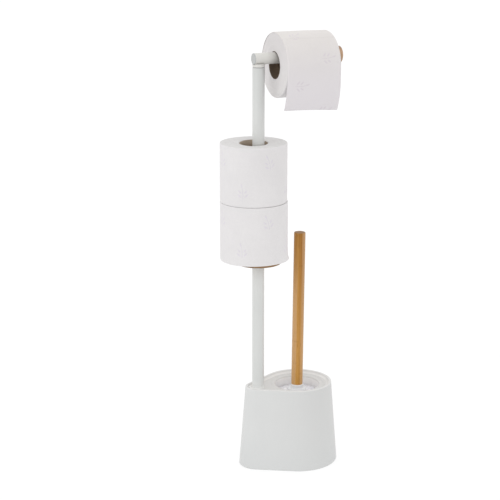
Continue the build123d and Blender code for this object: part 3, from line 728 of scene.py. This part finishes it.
# ------------------------------------------------------------------ loose end of the hanging roll
def make_tail():
    """One sheet: over the top of the roll, off its front and down, curling in; torn along a perforation."""
    rng = random.Random(5)
    r_in = HANG_R + 0.00042
    wrap = math.radians(TAIL_WRAP)
    on_roll = r_in * wrap
    hang = TAIL_ARC_R * math.asin(TAIL_DROP / TAIL_ARC_R)
    total = on_roll + hang
    width, cols, rows, thick = 0.0954, 191, 178, 0.00020
    s_list = np.concatenate([np.linspace(0, on_roll, 112, endpoint=False), np.linspace(on_roll, total, rows - 112)])
    # columns are closer together where the edges turn down over the roll's corners
    fs = np.linspace(0, 1, cols)
    side_wave = waves(rng, 3, 0.00016, 7)
    belly = waves(rng, 3, 1.0, 5)
    bow = [(0, -1.8), (0.14, -2.1), (0.25, -1.95), (0.36, -1.35), (0.47, -0.6), (0.59, 0.2), (0.71, 1.3), (0.82, 2.3), (0.92, 3.0), (1, 3.3)]
    cut = lambda f: float(np.interp(f, [b[0] for b in bow], [b[1] for b in bow])) * MM      # the torn edge isn't straight
    pts = np.zeros((rows, cols, 3))
    uv = np.zeros((rows, cols, 2))
    for i, s in enumerate(s_list):
        free = max(0.0, (s - on_roll) / hang)
        grip = 1.0 - ease(free * 1.15)                    # 1 where the sheet lies on the roll, 0 where it hangs flat
        xl, xr = 0.02760 + 0.00035 * grip, 0.12300 - 0.00045 * grip
        for j, f in enumerate(fs):
            x = xl + (xr - xl) * f
            fall = 0.0030 * grip * max(0.0, 1 - (xr - x) / 0.0042) ** 2 + 0.0012 * grip * max(0.0, 1 - (x - xl) / 0.0024) ** 2
            out = softened(x) - fall
            if s <= on_roll:
                a = math.radians(180.0 - TAIL_WRAP) + s / r_in
                r = r_in + out - 0.00075 * (1 - ease(s / 0.018))
                y, z = r * math.cos(a), HANG_Z + r * math.sin(a)
            else:
                d = (s - on_roll) * (1 + cut(f) / hang)
                if i == rows - 1:                         # torn edge
                    d += 0.00045 * abs(((j * 0.5) % 1.0) - 0.5) * 2 - 0.0002 + 0.00025 * math.sin(j * 1.7) * rng.random()
                a = d / TAIL_ARC_R
                y = (TAIL_ARC_R - r_in) - TAIL_ARC_R * math.cos(a)
                z = HANG_Z - TAIL_ARC_R * math.sin(a)
                loose = max(0.0, free - 0.12)
                out += 0.0011 * loose ** 1.5 * (belly(2.6 * f + 0.7) * 0.6 + math.sin(5.2 * f + 0.4) * 0.5)
                out -= 0.0020 * loose ** 3 * ((2 * f - 1) ** 6) * (1.0 if f < 0.5 else 0.5)
                y -= math.cos(a) * out
                z -= math.sin(a) * out
            x += side_wave(s * 40.0) * (2 * f - 1) * (0.4 + 0.6 * (1 - grip))
            pts[i, j] = (x, y, z)
            uv[i, j] = (s, f * width)
    nrm = np.cross(np.gradient(pts, axis=1), np.gradient(pts, axis=0))
    nrm /= np.linalg.norm(nrm, axis=2, keepdims=True)
    top = nrm[rows // 3, cols // 2]
    if np.dot(top, pts[rows // 3, cols // 2] - np.array((0.075, 0, HANG_Z))) < 0:
        nrm = -nrm
    outer = (pts + nrm * thick * 0.5).reshape(-1, 3)
    inner = (pts - nrm * thick * 0.5).reshape(-1, 3)
    verts = np.concatenate([outer, inner])
    quads = lattice(rows, cols, False)
    off = rows * cols
    faces = [q for q in quads] + [tuple(off + v for v in q[::-1]) for q in quads]
    rim = [(0, j) for j in range(cols)] + [(i, cols - 1) for i in range(1, rows)]
    rim += [(rows - 1, j) for j in range(cols - 2, -1, -1)] + [(i, 0) for i in range(rows - 2, 0, -1)]
    ids = [i * cols + j for i, j in rim]
    for a, b in zip(ids, ids[1:] + ids[:1]):
        faces.append((a, off + a, off + b, b))
    flat_uv = uv.reshape(-1, 2)
    uvs = [tuple(flat_uv[v % off]) for f in faces for v in f]
    # Painted shade and light: the loose sheet is a darker, warmer copy of the roll's tissue, turning paler and more
    # lilac down its hanging part.
    mat = tissue("tissue_tail_painted_light_and_shade", (total - 0.125, total - 0.250), (0.678, 0.648, 0.631), (0.706, 0.676, 0.659), (0.125, 0.240, (0.724, 0.694, 0.714)))
    o = mesh_piece("paper_tail_sheet", verts, faces, [mat], None, uvs)
    return o, width, total + 0.00075


tail, tail_w, tail_l = make_tail()
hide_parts("paper_tail")
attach(tail, "roll_arm")


# ------------------------------------------------------------------ brush head
ENVELOPE = [(0, 44.3), (10, 44.8), (19, 48.4), (26, 55), (31, 66), (34, 80), (35.4, 95), (35.9, 106), (35.9, 116), (35.2, 120.5), (31, 122.4)]
WELL = (72.6, 36.3)     # centre and free radius of the cup
CORE_SHAPE = [(6.5, 62), (8.5, 68), (11.5, 112), (13.0, 118), (16.0, 121.5)]


def askew(p):
    """From the brush's own axis (mm) to the stand, where the brush stands a little askew in its cup."""
    x, y, z = p
    z -= LEAN_Z / MM
    return np.array((BRUSH_X / MM + math.cos(LEAN) * x + math.sin(LEAN) * z, y, LEAN_Z / MM - math.sin(LEAN) * x + math.cos(LEAN) * z))


def env_radius(z):
    zs = [p[1] for p in ENVELOPE]
    rs = [p[0] for p in ENVELOPE]
    if z < zs[0] or z > zs[-1]:
        return 0.0
    return float(np.interp(z, zs, rs))


def core_radius(z):
    return float(np.interp(z, [p[1] for p in CORE_SHAPE], [p[0] for p in CORE_SHAPE]))


def make_bristles():
    """Tufts of nylon filament set in staggered rows on the core: level at the top, fanning down to the tip."""
    rng = random.Random(17)
    verts, faces, uvs = [], [], []

    def filament(root, direction, length, droop, r0):
        d = np.array(direction)
        d /= np.linalg.norm(d)
        side = np.cross(d, (0.2, 0.4, 0.9))
        side /= np.linalg.norm(side)
        up = np.cross(d, side)
        base = len(verts)
        steps, sides = 4, 3
        for i in range(steps + 1):
            t = i / steps
            c = np.array(root) + d * length * t + np.array((0, 0, -1.0)) * droop * length * t * t
            rr = r0 * (1.0 - 0.25 * t)
            for k in range(sides):
                a = 2 * math.pi * k / sides
                verts.append(askew(c + rr * (math.cos(a) * side + math.sin(a) * up)) * MM)
        for i in range(steps):
            for k in range(sides):
                q = (k + 1) % sides
                faces.append((base + i * sides + k, base + i * sides + q, base + (i + 1) * sides + q, base + (i + 1) * sides + k))
                uvs.extend([(k / sides, i / steps), (k / sides, i / steps), (k / sides, (i + 1) / steps), (k / sides, (i + 1) / steps)])
        faces.append(tuple(base + steps * sides + k for k in range(sides)))
        uvs.extend([(0.5, 1.0)] * sides)

    def reach(root, d, droop):
        """Length at which a filament meets the outline."""
        lo = 4.0
        while lo < 60.0:
            p = askew(np.array(root) + d * lo + np.array((0, 0, -1.0)) * droop * lo)
            if math.hypot(p[0] - WELL[0], p[1]) > min(env_radius(p[2]) - 0.25, WELL[1]):
                break
            lo += 0.25
        return lo

    rows = [
        (119.2, 20, 4, 110), (115.2, 18, -3, 110), (109.0, 14, -13, 84), (101.0, 13, -25, 84), (92.5, 12, -37, 84),
        (84.0, 12, -47, 84), (76.0, 11, -57, 84), (69.5, 9, -67, 84), (64.0, 6, -80, 84),
    ]
    for n_row, (z, count, tilt, dense) in enumerate(rows):
        r = core_radius(z)
        for k in range(count):
            a = 2 * math.pi * (k + 0.5 * (n_row % 2)) / count + rng.uniform(-0.03, 0.03)
            el = math.radians(tilt + rng.uniform(-2.5, 2.5))
            rad = np.array((math.cos(a), math.sin(a), 0.0))
            tan = np.array((-math.sin(a), math.cos(a), 0.0))
            up = np.array((0, 0, 1.0))
            d = math.cos(el) * rad + math.sin(el) * up
            nrm = -math.sin(el) * rad + math.cos(el) * up
            root = rad * (r - 0.5) + up * z
            for b in range(dense):
                q, w = math.sqrt(rng.random()), rng.uniform(0, 6.283)
                ox, oy = q * math.cos(w), q * math.sin(w)
                start = root + tan * ox * 2.1 + nrm * oy * 1.8
                spread = 0.19
                dd = d + tan * (ox * spread + rng.uniform(-0.025, 0.025)) + nrm * (oy * spread * 0.9 + rng.uniform(-0.025, 0.025))
                dd = dd / np.linalg.norm(dd)
                droop = 0.03 + 0.03 * rng.random()
                full = reach(start, dd, droop) * (1.0 - (0.04 if n_row < 2 else 0.10) * q * q) * rng.uniform(0.95, 1.0)     # each tuft has a domed end
                filament(start, dd, full, droop, 0.25)
    o = mesh_piece("bristle_tufts", verts, faces, [M_BRISTLE_PAINTED_GLOW], None, uvs)
    return o


tufts = make_bristles()
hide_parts("brush_bristles")
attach(tufts, "brush")

# ------------------------------------------------------------------ camera, floor, light
AZ, EL = math.radians(-22.888), math.radians(14.720)
back = Vector((math.sin(AZ) * math.cos(EL), -math.cos(AZ) * math.cos(EL), math.sin(EL)))
right = Vector((math.cos(AZ), math.sin(AZ), 0.0))
up = back.cross(right)
cam_data = bpy.data.cameras.new("camera")
cam_data.lens = 108.0
cam_data.sensor_width = 36.0
cam_data.clip_end = 50.0
cam = bpy.data.objects.new("camera", cam_data)
cam.matrix_world = Matrix((
    (right.x, up.x, back.x, -0.94367),
    (right.y, up.y, back.y, -2.20021),
    (right.z, up.z, back.z, 1.00571),
    (0, 0, 0, 1),
))
bpy.context.scene.collection.objects.link(cam)
bpy.context.scene.camera = cam


def plane(name, size, mat):
    me = bpy.data.meshes.new(name)
    s = size / 2
    me.from_pydata([(-s, -s, 0), (s, -s, 0), (s, s, 0), (-s, s, 0)], [], [(0, 1, 2, 3)])
    me.materials.append(mat)
    o = bpy.data.objects.new(name, me)
    bpy.context.scene.collection.objects.link(o)
    return o


FLOOR_BACK, FLOOR_FRONT = 0.74, 0.30
g = Mat("studio_floor", Roughness=0.9, Specular_IOR_Level=0.1)
g.b.inputs["Emission Color"].default_value = (1, 1, 1, 1)
reach = g.smooth(g.xyz(g.coords())[1], -2.40, -0.15, FLOOR_FRONT, FLOOR_BACK)     # the lit sweep lies round and behind the object
g.put(g.b.inputs["Emission Strength"], reach)
pale = g.mix(g.noise(g.coords(), 3.0, 2.0, 0.5), (0.25, 0.25, 0.25), (0.27, 0.27, 0.27))
floor = plane("floor", 80.0, g.done(pale))


def area(name, loc, target, size, power, color=(1, 1, 1)):
    d = bpy.data.lights.new(name, "AREA")
    d.shape = "RECTANGLE"
    d.size, d.size_y = size
    d.energy = power
    d.color = color
    o = bpy.data.objects.new(name, d)
    o.location = loc
    o.rotation_euler = (Vector(target) - Vector(loc)).to_track_quat("-Z", "Y").to_euler()
    bpy.context.scene.collection.objects.link(o)
    return o


area("left", (-2.2, -0.9, 0.9), (0.0, 0.0, 0.4), (0.55, 1.9), 4.6, (0.96, 0.985, 1.0))
area("front", (-0.6, -2.3, 2.5), (0.05, 0.0, 0.30), (1.8, 1.8), 7.0, (1.0, 0.985, 0.965))

world = bpy.data.worlds.new("studio")
world.use_nodes = True
bg = world.node_tree.nodes["Background"]
bg.inputs[0].default_value = (1, 1, 1, 1)
bg.inputs[1].default_value = 1.085
bpy.context.scene.world = world
bpy.context.scene.view_settings.view_transform = "Standard"
bpy.context.scene.view_settings.look = "None"
